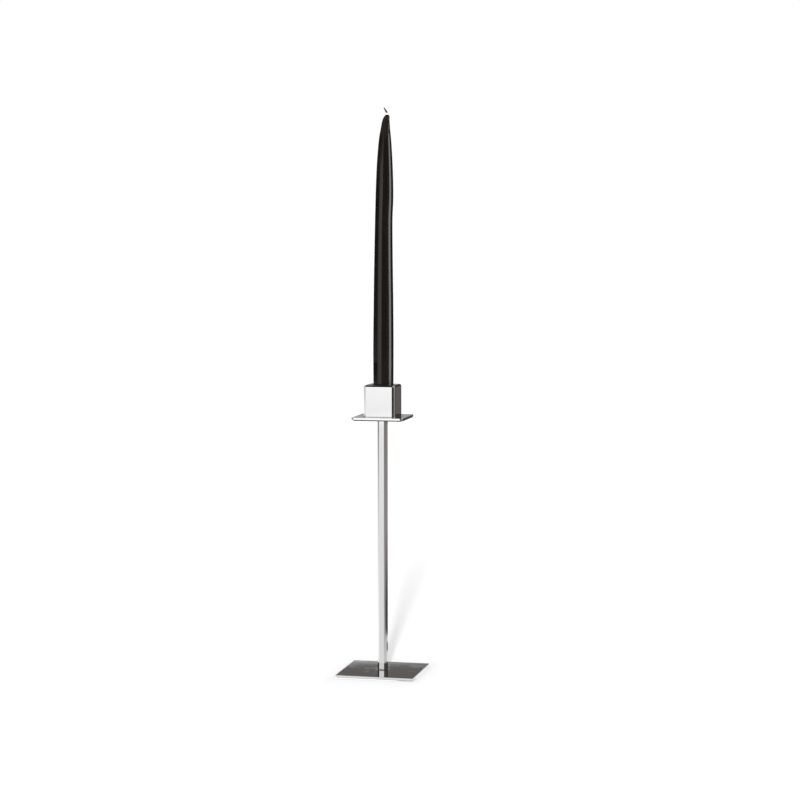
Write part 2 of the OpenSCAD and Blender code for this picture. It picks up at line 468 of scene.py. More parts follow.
# (share of the rise, share of the radius, share of the lean) up the candle
CANDLE_SHAPE = (
    (0, 0.986, 0), (0.14, 1, 0), (0.31, 0.963, 0.03), (0.47, 0.9, 0.04), (0.61, 0.854, 0.12),
    (0.69, 0.866, 0.3), (0.76, 0.829, 0.36), (0.84, 0.735, 0.4), (0.91, 0.594, 0.47),
    (0.952, 0.444, 0.58), (0.98, 0.332, 0.7), (0.994, 0.24, 0.97), (1, 0.1, 1),
)
CANDLE_SIDES = 96
SHAPE_STEPS = 16
CHANNEL_STEPS = 4
CHANNEL_MOUTH_DROP = 0.02 * MM
WICK_RADIUS = 0.9 * MM
BUTT_ROUND = 1 * MM
BUTT_ARC_STEPS = 4
# Rings across the butt's end
BUTT_END = (WICK_RADIUS + 0.3 * MM, 5 * MM, BUTT_RADIUS - 1.3 * BUTT_ROUND)
# The butt stays straight up to this far under the rim, then flares in the last part
BUTT_STOP = 0.6 * MM
FLARE = 0.5 * MM
FLARE_STEPS = 5
# Relief of the dipped wax: how high each kind stands, and its noise cells round the candle and
# per metre of height
WAX_SWELL, SWELL_ROUND, SWELL_UP = 0.045 * MM, 0.9, 42
WAX_STREAK, STREAK_ROUND, STREAK_UP = 0.018 * MM, 3.1, 14
WAX_DIP, DIP_UP = 0.012 * MM, 260
# The drop of wax at one side of the tip: its height, and its place and reach down the candle
NUB = 0.32 * MM
NUB_BELOW_TIP = 5 * MM
NUB_REACH = 7 * MM
# The relief fades in above the rim, and fades out where the tip gets thin
RELIEF_START = 6 * MM
RELIEF_FULL_RADIUS = 2.4 * MM


def smooth_rows(rows, steps):
    """Catmull-Rom rows through the given ones."""
    last = len(rows) - 1
    made = []
    for i in range(last):
        a, b, c, d = (Vector(rows[max(0, min(last, i + k))]) for k in (-1, 0, 1, 2))
        for step in range(steps):
            t = step / steps
            made.append((2 * b + (c - a) * t + (2 * a - 5 * b + 4 * c - d) * t ** 2
                         + (3 * b - a - 3 * c + d) * t ** 3) / 2)
    made.append(Vector(rows[last]))
    return made


def axis_point(z, lean):
    """The candle's centre at height z, pushed aside by that share of the lean."""
    return LEAN_WAY * (SHIFT + LEAN * lean) + Vector((0, 0, z))


def wax_skin(z, angle):
    """How far the hand-dipped wax stands off its smooth shape."""
    if z < RIM_Z:
        return 0.0
    fade = min(1.0, (z - RIM_Z) / RELIEF_START)
    x, y = math.cos(angle), math.sin(angle)
    swell = WAX_SWELL * noise.noise(Vector((x * SWELL_ROUND, y * SWELL_ROUND, z * SWELL_UP)))
    streak = WAX_STREAK * noise.noise(Vector((x * STREAK_ROUND, y * STREAK_ROUND, z * STREAK_UP)))
    dip = WAX_DIP * noise.noise(Vector((0.3, 0.7, z * DIP_UP)))
    side = max(0.0, math.cos(angle - LEAN_TURN))
    nub = side * NUB * math.exp(-((z - TIP_Z + NUB_BELOW_TIP) / NUB_REACH) ** 2)
    return fade * (swell + streak + dip + nub)


def butt_rows():
    """(z, radius, lean) rows across the butt's end, up its side and out to the full candle."""
    rows = [(SOCKET_FLOOR, radius, 0) for radius in BUTT_END]
    for step in range(BUTT_ARC_STEPS + 1):
        turn = step / BUTT_ARC_STEPS * math.pi / 2
        z = SOCKET_FLOOR + BUTT_ROUND * (1 - math.cos(turn))
        rows.append((z, BUTT_RADIUS - BUTT_ROUND * (1 - math.sin(turn)), 0))
    straight = RIM_Z - SOCKET_FLOOR - BUTT_ROUND - BUTT_STOP
    for step in range(1, FLARE_STEPS + 1):
        rows.append((SOCKET_FLOOR + BUTT_ROUND + step / FLARE_STEPS * straight, BUTT_RADIUS, 0))
    start = CANDLE_SHAPE[0][1] * CANDLE_RADIUS
    for step in range(1, FLARE_STEPS + 1):
        share = step / FLARE_STEPS
        ease = share * share * (3 - 2 * share)
        rows.append((RIM_Z - FLARE * (1 - share), BUTT_RADIUS + ease * (start - BUTT_RADIUS), 0))
    return rows


def candle_mesh():
    """The dipped taper as one skin: its butt, its outside, and down the wick's channel."""
    rows = butt_rows()
    # the butt's last row is the shape's first one
    for row in smooth_rows(CANDLE_SHAPE, SHAPE_STEPS)[1:]:
        rows.append((RIM_Z + RISE * row[0], CANDLE_RADIUS * row[1], row[2]))
    outer = len(rows)
    inner = list(reversed(smooth_rows(CANDLE_SHAPE, CHANNEL_STEPS)))
    for k, row in enumerate(inner):
        drop = CHANNEL_MOUTH_DROP if k == 0 else 0
        rows.append((RIM_Z + RISE * row[0] - drop, WICK_RADIUS, row[2]))
    rows.append((SOCKET_FLOOR, WICK_RADIUS, 0))
    vertices = []
    for k, (z, radius, lean) in enumerate(rows):
        centre = axis_point(z, lean)
        for side in range(CANDLE_SIDES):
            angle = 2 * math.pi * side / CANDLE_SIDES
            way = Vector((math.cos(angle), math.sin(angle), 0))
            relief = wax_skin(z, angle) * min(1, radius / RELIEF_FULL_RADIUS) if k < outer else 0.0
            vertices.append(centre + way * (radius + relief))
    faces = ring_faces(len(rows), CANDLE_SIDES)
    piece = new_object("taper_candle", vertices, faces)
    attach(piece, "taper")
    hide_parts("candle")
    return piece


candle_piece = candle_mesh()

# ---------- wick ----------

# (height above the candle's tip, share of the lean) up the wick's free end
WICK_END = ((0, 1), (1.8 * MM, 0.98), (4 * MM, 0.7), (6 * MM, 0.38), (7.5 * MM, 0.17))
# Where the strands start, inside the wax
WICK_ROOT = (-3 * MM, 0.93)
WICK_STEPS = 14
# The strands thin to this share at the tip, from this share of the free end on
WICK_TIP_SHARE = 0.45
THIN_FROM = 0.5
THIN_POWER = 1.5
STRAND_RADIUS = 0.58 * MM
PLAIT_WIDE = 0.55 * MM
PLAIT_DEEP = 0.3 * MM
PLAIT_PITCH = 3.4 * MM
# The strands' ends are cut this much apart
STRAND_TRIM = 0.35 * MM
TRIM_FROM = 0.97
# The cord inside the wax, which stops this far short of the butt's end and of the tip
CORE_RADIUS = 0.86 * MM
CORE_STEPS = 3
CORE_START = 0.1 * MM
CORE_STOP = 2 * MM
WICK_SIDES = 12
WICK_ROUGH, ROUGH_FINENESS = 0.07, 5200
# Every ring of a strand starts square to this direction
WICK_GUIDE = Vector((0.3, -0.95, 0.1))


def wick_mesh():
    """A plain cord inside the wax, and three plaited cotton strands where it comes out."""
    vertices, faces, layer = [], [], []

    def tube(path):
        """A closed tube along (centre, radius, grow) stations."""
        first = len(vertices)
        for i, (centre, radius, grow) in enumerate(path):
            here = Vector(path[max(0, i - 1)][0])
            there = Vector(path[min(len(path) - 1, i + 1)][0])
            along = (there - here).normalized()
            across = along.cross(WICK_GUIDE).normalized()
            other = along.cross(across)
            for side in range(WICK_SIDES):
                angle = 2 * math.pi * side / WICK_SIDES
                spoke = across * math.cos(angle) + other * math.sin(angle)
                rough = 1 + WICK_ROUGH * noise.noise((centre + spoke * radius) * ROUGH_FINENESS)
                vertices.append(centre + spoke * radius * rough)
                layer.append(grow)
        last = first + (len(path) - 1) * WICK_SIDES
        faces.extend(ring_faces(len(path), WICK_SIDES, first, closed=False))
        faces.append(tuple(first + side for side in reversed(range(WICK_SIDES))))
        faces.append(tuple(last + side for side in range(WICK_SIDES)))

    core = [(axis_point(SOCKET_FLOOR + CORE_START, 0), CORE_RADIUS, 0.0)]
    for row in smooth_rows(CANDLE_SHAPE, CORE_STEPS):
        core.append((axis_point(RIM_Z + RISE * row[0] - CORE_STOP, row[2]), CORE_RADIUS, 0.0))
    tube(core)

    free = smooth_rows((WICK_ROOT,) + WICK_END, WICK_STEPS)
    total = WICK_END[-1][0]
    deep = Vector((-LEAN_WAY.y, LEAN_WAY.x, 0))
    for strand in range(3):
        path = []
        for height, lean in free:
            share = max(0.0, height / total)
            thinned = max(0.0, (share - THIN_FROM) / (1 - THIN_FROM)) ** THIN_POWER
            shrink = 1 - (1 - WICK_TIP_SHARE) * thinned
            phase = 2 * math.pi * (height / PLAIT_PITCH + strand / 3)
            side_way = LEAN_WAY * (PLAIT_WIDE * math.sin(phase) * shrink)
            deep_way = deep * (PLAIT_DEEP * math.sin(2 * phase) * shrink)
            end_trim = STRAND_TRIM * strand if share > TRIM_FROM else 0.0
            centre = axis_point(TIP_Z + height - end_trim, lean) + side_way + deep_way
            path.append((centre, STRAND_RADIUS * shrink, share))
        tube(path)
    piece = new_object("plaited_wick", vertices, faces, layers={"grow": layer})
    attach(piece, "taper")
    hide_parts("wick")
    return piece


wick_piece = wick_mesh()

# ---------- shader helpers ----------


class Shader:
    """Short words for making nodes and joining them."""

    def __init__(self, tree):
        self.tree = tree
        tree.nodes.clear()

    def put(self, socket, value):
        """Join a socket to another node's output, or set it."""
        if isinstance(value, bpy.types.NodeSocket):
            self.tree.links.new(value, socket)
        elif value is not None:
            socket.default_value = value

    def node(self, kind, **values):
        """A new node, with the given properties."""
        made = self.tree.nodes.new(kind)
        for key, value in values.items():
            setattr(made, key, value)
        return made

    def math(self, operation, a, b=None, c=None):
        """The result of a Math node."""
        made = self.node("ShaderNodeMath", operation=operation)
        for socket, value in zip(made.inputs, (a, b, c)):
            self.put(socket, value)
        return made.outputs[0]

    def vector(self, operation, a, b=None):
        """The result of a Vector Math node, a number for a dot product or a length."""
        made = self.node("ShaderNodeVectorMath", operation=operation)
        self.put(made.inputs[0], a)
        self.put(made.inputs["Scale" if operation == "SCALE" else 1], b)
        return made.outputs["Value" if operation in ("DOT_PRODUCT", "LENGTH") else "Vector"]

    def ramp(self, value, low, high, to_low=0.0, to_high=1.0, smooth=True):
        """A value mapped from one range to another, held at its ends."""
        kind = "SMOOTHSTEP" if smooth else "LINEAR"
        made = self.node("ShaderNodeMapRange", interpolation_type=kind)
        for name, number in (("Value", value), ("From Min", low), ("From Max", high),
                             ("To Min", to_low), ("To Max", to_high)):
            self.put(made.inputs[name], number)
        return made.outputs[0]

    def mix(self, factor, a, b):
        """A colour between two colours."""
        made = self.node("ShaderNodeMix", data_type="RGBA")
        self.put(made.inputs[0], factor)
        self.put(made.inputs[6], a)
        self.put(made.inputs[7], b)
        return made.outputs[2]

    def blend(self, factor, a, b):
        """A number between two numbers."""
        made = self.node("ShaderNodeMix", data_type="FLOAT")
        self.put(made.inputs[0], factor)
        self.put(made.inputs[2], a)
        self.put(made.inputs[3], b)
        return made.outputs[0]

    def place(self):
        """Object coordinates in metres, so the detail stays on the piece when it moves."""
        return self.node("ShaderNodeTexCoord").outputs["Object"]

    def apart(self, vector):
        """The x, y and z of a vector."""
        split = self.node("ShaderNodeSeparateXYZ")
        self.put(split.inputs[0], vector)
        return split.outputs

    def noise(self, vector, scale, detail, rough, distortion=0.0):
        """Fractal noise round 0.5, with scale cells per metre."""
        made = self.node("ShaderNodeTexNoise")
        for name, number in (("Vector", vector), ("Scale", scale), ("Detail", detail),
                             ("Roughness", rough), ("Distortion", distortion)):
            self.put(made.inputs[name], number)
        return made.outputs["Fac"]

    def layer(self, name):
        """A vertex layer of the piece's own mesh."""
        return self.node("ShaderNodeAttribute", attribute_name=name).outputs["Fac"]

    def bump(self, height, distance, normal=None):
        """A normal tilted by relief whose height of 1 stands for the given distance."""
        made = self.node("ShaderNodeBump")
        made.inputs["Strength"].default_value = 1.0
        made.inputs["Distance"].default_value = distance
        self.put(made.inputs["Height"], height)
        self.put(made.inputs["Normal"], normal)
        return made.outputs[0]


def material(name):
    """A new material, the words for its nodes, and its Principled shader."""
    made = bpy.data.materials.new(name)
    made.use_nodes = True
    shader = Shader(made.node_tree)
    out = shader.node("ShaderNodeOutputMaterial")
    surface = shader.node("ShaderNodeBsdfPrincipled")
    shader.tree.links.new(surface.outputs[0], out.inputs["Surface"])
    return made, shader, surface


def finish(piece, made):
    """Give a piece one material."""
    piece.data.materials.clear()
    piece.data.materials.append(made)


# ---------- polished silver plate ----------

SILVER_PALE = (0.83, 0.829, 0.828, 1)
SILVER_DEEP = (0.79, 0.79, 0.789, 1)
SILVER_WORN = (0.87, 0.865, 0.85, 1)
JOINT_DIRT_AND_SHADE = (0.05, 0.045, 0.04, 1)
MIRROR_ROUGHNESS = 0.022
MARK_ROUGHNESS = 0.03
DIRT_ROUGHNESS = 0.3
# Noise is given as cells per metre, detail, roughness and distortion
SMUDGE_NOISE = (55, 4, 0.6, 0.4)
HAZE_NOISE = (18, 2, 0.5)
HAIRLINE_NOISE = (1, 1, 0.5)
HAIRLINES_LEVEL = (60, 2400, 900)
HAIRLINES_UPRIGHT = (2000, 90, 300)
DIRT_NOISE = (700, 3, 0.6)
WAVE_NOISE = (45, 1, 0.4)
WAVE_DEPTH = 0.0035 * MM
SCRATCH_DEPTH = 0.0002 * MM


def polished(name, shift, dirt_and_shade):
    """Mirror plate: faint waviness, hairline scratches, smudges, worn edges, and dirt with painted
    shade at the joints.

    Shift moves the pattern, so that no two pieces are alike, and the last argument is how dark
    dirt and painted shade make the joints.
    """
    made, s, surface = material(name)
    surface.inputs["Metallic"].default_value = 1.0
    where = s.vector("ADD", s.place(), (shift, shift * 0.7, shift * 0.3))
    edge = s.layer("edge")
    seam = s.layer("seam")

    smudge = s.ramp(s.noise(where, *SMUDGE_NOISE), 0.5, 0.72)
    haze = s.noise(where, *HAZE_NOISE)
    level = s.noise(s.vector("MULTIPLY", where, HAIRLINES_LEVEL), *HAIRLINE_NOISE)
    upright = s.noise(s.vector("MULTIPLY", where, HAIRLINES_UPRIGHT), *HAIRLINE_NOISE)
    lines = s.math("MAXIMUM", s.ramp(level, 0.68, 0.8), s.ramp(upright, 0.7, 0.82))
    patchy = s.ramp(s.noise(where, *DIRT_NOISE), 0.2, 0.6, 0.7 * dirt_and_shade, dirt_and_shade)
    # dirt and painted shade: the base colour darkens along joint lines and in holes, standing in
    # also for the shade in the gaps
    grime_and_shade = s.math("MULTIPLY", seam, patchy)

    clean = s.mix(haze, SILVER_PALE, SILVER_DEEP)
    worn = s.mix(s.math("MULTIPLY", edge, 0.45), clean, SILVER_WORN)
    dirty_and_shaded = s.mix(s.math("MULTIPLY", grime_and_shade, 0.92), worn, JOINT_DIRT_AND_SHADE)
    s.put(surface.inputs["Base Color"], dirty_and_shaded)

    rough = s.math("MULTIPLY_ADD", smudge, MARK_ROUGHNESS, MIRROR_ROUGHNESS)
    rough = s.math("MULTIPLY_ADD", lines, MARK_ROUGHNESS, rough)
    rough = s.math("MULTIPLY_ADD", edge, MARK_ROUGHNESS, rough)
    rough = s.math("MULTIPLY_ADD", grime_and_shade, DIRT_ROUGHNESS, rough)
    s.put(surface.inputs["Roughness"], rough)

    wavy = s.bump(s.noise(where, *WAVE_NOISE), WAVE_DEPTH)
    scored = s.bump(lines, SCRATCH_DEPTH, wavy)
    s.put(surface.inputs["Normal"], scored)
    return made


finish(plate_piece, polished("polished_foot", 0.13, 1.0))
finish(stem_piece, polished("polished_stem", 0.41, 1.0))
finish(tray_piece, polished("polished_tray", 0.77, 0.25))
finish(cup_piece, polished("polished_cup", 1.19, 0.25))

# ---------- steel fasteners and plugs ----------


RINGS_PER_RADIUS = 26000
RINGS_PER_HEIGHT = 14000
GROOVE_DEPTH = 0.004 * MM
GRAIN_NOISE = (2600, 2, 0.5)
GRAIN_DEPTH = 0.01 * MM
STEEL_CLOUD_NOISE = (900, 4, 0.6)
STAIN_NOISE = (350, 3, 0.6)
RUST = (0.24, 0.17, 0.11, 1)


def turned_steel(name, colour, shift):
    """Machined steel: turning rings about the axis, and a little brown in patches."""
    made, s, surface = material(name)
    surface.inputs["Metallic"].default_value = 1.0
    where = s.vector("ADD", s.place(), (shift, 0, 0))
    flat = s.vector("MULTIPLY", s.place(), (1, 1, 0))
    radius = s.vector("LENGTH", flat)
    high = s.vector("DOT_PRODUCT", s.place(), (0, 0, 1))
    climb = s.math("MULTIPLY", high, RINGS_PER_HEIGHT)
    rings = s.math("SINE", s.math("MULTIPLY_ADD", radius, RINGS_PER_RADIUS, climb))
    cloud = s.noise(where, *STEEL_CLOUD_NOISE)
    stain = s.ramp(s.noise(where, *STAIN_NOISE), 0.56, 0.75)
    dark = tuple(0.45 * part for part in colour) + (1,)
    tone = s.mix(cloud, dark, colour + (1,))
    s.put(surface.inputs["Base Color"], s.mix(s.math("MULTIPLY", stain, 0.4), tone, RUST))
    s.put(surface.inputs["Roughness"], s.ramp(cloud, 0.2, 0.8, 0.24, 0.42))
    groove = s.bump(rings, GROOVE_DEPTH)
    s.put(surface.inputs["Normal"], s.bump(s.noise(where, *GRAIN_NOISE), GRAIN_DEPTH, groove))
    return made


screw_steel = turned_steel("screw_steel_turned", (0.72, 0.72, 0.73), 0.2)
plug_steel = turned_steel("plug_steel_turned", (0.6, 0.6, 0.6), 0.9)
for name in ("base_screw", "cup_screw", "cup_washer"):
    finish(nodes[name], screw_steel)
for name in ("stem_lower_plug", "stem_upper_plug"):
    finish(nodes[name], plug_steel)

# ---------- wax ----------

WAX_DEEP = (0.0048, 0.0034, 0.0022, 1)
WAX_BROWN = (0.0064, 0.0047, 0.0034, 1)
WAX_BLOOM = (0.0115, 0.0105, 0.0098, 1)
WAX_SPECK = (0.02, 0.02, 0.02, 1)
WAX_ROUGHNESS = 0.13
WAX_IOR = 1.5
WAX_STRETCH = (900, 900, 30)
WAX_STREAK_NOISE = (1, 2, 0.5)
WAX_CLOUD_NOISE = (60, 4, 0.6, 0.3)
WAX_BLOOM_NOISE = (26, 5, 0.65, 0.6)
WAX_SPECK_NOISE = (1900, 2, 0.5)


def black_wax():
    """Black candle wax: satin skin, faint lengthwise streaks, pits and a thin grey bloom."""
    made, s, surface = material("black_wax_dipped")
    where = s.place()
    streak = s.noise(s.vector("MULTIPLY", where, WAX_STRETCH), *WAX_STREAK_NOISE)
    cloud = s.noise(where, *WAX_CLOUD_NOISE)
    bloom = s.ramp(s.noise(where, *WAX_BLOOM_NOISE), 0.52, 0.78)
    speck = s.ramp(s.noise(where, *WAX_SPECK_NOISE), 0.7, 0.8)
    tone = s.mix(cloud, WAX_DEEP, WAX_BROWN)
    tone = s.mix(s.math("MULTIPLY", bloom, 0.25), tone, WAX_BLOOM)
    s.put(surface.inputs["Base Color"], s.mix(s.math("MULTIPLY", speck, 0.4), tone, WAX_SPECK))
    rough = s.math("MULTIPLY_ADD", bloom, 0.06, WAX_ROUGHNESS)
    s.put(surface.inputs["Roughness"], s.math("MULTIPLY_ADD", cloud, 0.04, rough))
    surface.inputs["IOR"].default_value = WAX_IOR
    skin = s.bump(cloud, 0.02 * MM)
    skin = s.bump(streak, 0.0012 * MM, skin)
    s.put(surface.inputs["Normal"], s.bump(speck, 0.0015 * MM, skin))
    return made


finish(candle_piece, black_wax())

# ---------- wick cotton ----------

COTTON_SHADE = (0.8, 0.78, 0.72, 1)
COTTON_WHITE = (0.95, 0.94, 0.91, 1)
WAXED_DARK = (0.03, 0.028, 0.028, 1)
WAXED_PALE = (0.075, 0.072, 0.072, 1)
# The wax starts between these shares of the free end
DIP_LINE = (0.25, 0.32)
COTTON_STRETCH = (9000, 9000, 2500)
COTTON_NOISE = (1, 3, 0.6)
RAGGED_NOISE = (2500, 2, 0.5)


def cotton():
    """White cotton yarn, its upper part dipped in dark wax."""
    made, s, surface = material("wick_cotton_dipped")
    where = s.place()
    fibre = s.noise(s.vector("MULTIPLY", where, COTTON_STRETCH), *COTTON_NOISE)
    ragged = s.math("MULTIPLY_ADD", s.noise(where, *RAGGED_NOISE), 0.12, s.layer("grow"))
    dipped = s.ramp(ragged, *DIP_LINE)
    white = s.mix(fibre, COTTON_SHADE, COTTON_WHITE)
    waxed = s.mix(fibre, WAXED_DARK, WAXED_PALE)
    s.put(surface.inputs["Base Color"], s.mix(dipped, white, waxed))
    s.put(surface.inputs["Roughness"], s.blend(dipped, 0.9, 0.45))
    s.put(surface.inputs["Normal"], s.bump(fibre, 0.05 * MM))
    return made


finish(wick_piece, cotton())

# ---------- felt ----------

FELT_DARK = (0.035, 0.035, 0.036, 1)
FELT_PALE = (0.13, 0.13, 0.13, 1)
FELT_PATCH = (0.06, 0.058, 0.055, 1)
FELT_NOISE = (4200, 4, 0.7, 1.2)
PATCH_NOISE = (160, 3, 0.5)


def felt():
    """Black felt: tangled fibres, a sheen, and slightly browner patches."""
    made, s, surface = material("pad_felt")
    where = s.place()
    fibre = s.noise(where, *FELT_NOISE)
    patch = s.noise(where, *PATCH_NOISE)
    tone = s.mix(fibre, FELT_DARK, FELT_PALE)
    s.put(surface.inputs["Base Color"], s.mix(s.math("MULTIPLY", patch, 0.4), tone, FELT_PATCH))
    s.put(surface.inputs["Roughness"], s.ramp(fibre, 0.2, 0.8, 0.85, 1.0))
    surface.inputs["Sheen Weight"].default_value = 0.4
    surface.inputs["Sheen Roughness"].default_value = 0.5
    s.put(surface.inputs["Normal"], s.bump(fibre, 0.15 * MM))
    return made


finish(pad_piece, felt())

# ---------- camera ----------

# The camera stands to the right of the front by CAMERA_TURN, and looks almost at the stem
CAMERA_TURN = math.radians(13.305)
CAMERA_REACH = 2.4621
CAMERA_HEIGHT = 0.5024
LOOK_TURN = math.radians(12.869)
LOOK_DOWN = math.radians(4.765)
SENSOR_WIDTH = 36
LENS = 103.09
CLIP_NEAR, CLIP_FAR = 0.05, 100


def way_down(turn, down):
    """The direction that looks away from the bearing turn, and down by the other angle."""
    level = math.cos(down)
    return Vector((-math.sin(turn) * level, math.cos(turn) * level, -math.sin(down)))


def aim(thing, way):
    """Turn a camera or a light to face along a direction."""
    thing.rotation_mode = "QUATERNION"
    thing.rotation_quaternion = way.to_track_quat("-Z", "Y")


camera_data = bpy.data.cameras.new("camera")
camera = bpy.data.objects.new("camera", camera_data)
scene.collection.objects.link(camera)
camera_data.sensor_width = SENSOR_WIDTH
camera_data.lens = LENS
camera_data.clip_start = CLIP_NEAR
camera_data.clip_end = CLIP_FAR
camera.location = (
    CAMERA_REACH * math.sin(CAMERA_TURN), -CAMERA_REACH * math.cos(CAMERA_TURN), CAMERA_HEIGHT
)
aim(camera, way_down(LOOK_TURN, LOOK_DOWN))
scene.camera = camera
scene.view_settings.view_transform = "Standard"

# ---------- floor ----------

FLOOR_REACH = 12
FLOOR_DROP = 0.05 * MM
FLOOR_WHITE = (0.9, 0.9, 0.9, 1)
FLOOR_PAINTED_SHADE = (0.81, 0.81, 0.81, 1)
# How far the painted soft shade round the foot reaches, beside it and in front of it
SHADE_WIDE = 6 * MM
SHADE_DEEP = 18 * MM
# Painted glow: the floor under the foot plate emits light that stands in for light bounced into
# the gap, and leaves out the front right corner, where the gap stays dark
UNDER_PLATE_GLOW = 0.5
BOUNCE_EDGE = 0.01
DARK_CORNER = (12 * MM, 22 * MM)
# Painted glow: the floor's emission rises from none to this much between these distances behind
# the foot
BACK_GLOW = 0.045
BACK_FROM, BACK_TO = 0.5, 0.95


def floor():
    """White sweep with painted light: a faint painted shade round the foot, a painted glow under
    the foot plate, and a painted glow that grows farther back.
    """
    corners = ((-1, -1), (1, -1), (1, 1), (-1, 1))
    vertices = [(x * FLOOR_REACH, y * FLOOR_REACH, -FLOOR_DROP) for x, y in corners]
    piece = new_object("studio_floor", vertices, [(0, 1, 2, 3)])
    made, s, surface = material("floor_white")
    where = s.place()
    x, y, _ = s.apart(where)
    # painted shade: the floor's colour darkens round the foot plate's outline, where a soft shadow
    # falls
    off = []
    for value, reach in ((x, SHADE_WIDE), (y, SHADE_DEEP)):
        past = s.math("SUBTRACT", s.math("ABSOLUTE", value), PLATE_HALF)
        off.append(s.math("DIVIDE", s.math("MAXIMUM", past, 0.0), reach))
    squares = s.math("ADD", s.math("POWER", off[0], 2.0), s.math("POWER", off[1], 2.0))
    painted_shade = s.math("EXPONENT", s.math("MULTIPLY", s.math("SQRT", squares), -1.0))
    s.put(surface.inputs["Base Color"], s.mix(painted_shade, FLOOR_WHITE, FLOOR_PAINTED_SHADE))
    surface.inputs["Roughness"].default_value = 1.0
    surface.inputs["Specular IOR Level"].default_value = 0.0
    surface.inputs["Emission Color"].default_value = (1, 1, 1, 1)
    # painted glow under the foot plate, left out near the front right corner
    corner = s.vector("LENGTH", s.vector("SUBTRACT", where, (PLATE_HALF, -PLATE_HALF, 0)))
    under = s.ramp(squares, 0.0, BOUNCE_EDGE, UNDER_PLATE_GLOW, 0.0)
    under_plate_glow = s.math("MULTIPLY", under, s.ramp(corner, *DARK_CORNER))
    # painted glow that brightens the floor farther back
    painted_back_glow = s.ramp(y, BACK_FROM, BACK_TO, 0.0, BACK_GLOW)
    s.put(surface.inputs["Emission Strength"], s.math("ADD", under_plate_glow, painted_back_glow))
    finish(piece, made)
    piece.visible_glossy = False


floor()
# only the stem and the foot cast the shadow on the floor
for upper in (tray_piece, cup_piece, candle_piece, wick_piece):
    upper.visible_shadow = False

# ---------- studio: what the polished faces and the wax reflect ----------
# Bearings run from the front, -Y, towards the right, +X, in degrees from 50 to 410, so 270 is the
# left, 340 is 20 degrees left of the front, and 373 is the camera's side.

BEARING_CUT = 50
FULL_TURN = 360
IN_DEGREES = 180 / math.pi
WHITE_SEEN = (1.01, 1.01, 1.01, 1)
SOFT_LIGHT = (0.878, 0.878, 0.878, 1)
# Dim reflections are a little warmer than bright ones
DIM_TINT = (1.06, 0.985, 0.96, 1)
NO_TINT = (1, 1, 1, 1)
DIM_LEVEL, BRIGHT_LEVEL = 0.12, 0.5

# (height in degrees, level) stops that several panels share
UNDER_TABLE = ((-90, 0.03), (-74.5, 0.03))
CEILING = ((75, 0.3), (90, 0.24))
PALE_CEILING = ((62, 0.42),) + CEILING
DARK_CEILING = ((62, 0.3), (70, 0.03), (90, 0.02))
LEFT_WALL = UNDER_TABLE + (
    (-73, 0.8), (-25, 0.65), (-14, 0.7), (-12.2, 1.0), (-10.5, 1.15), (-9, 0.97), (-7, 0.69),
    (-5.7, 0.4), (-5.3, 0.3), (-5.18, 0.3), (-5.12, 1.05), (-4.45, 0.7),
)

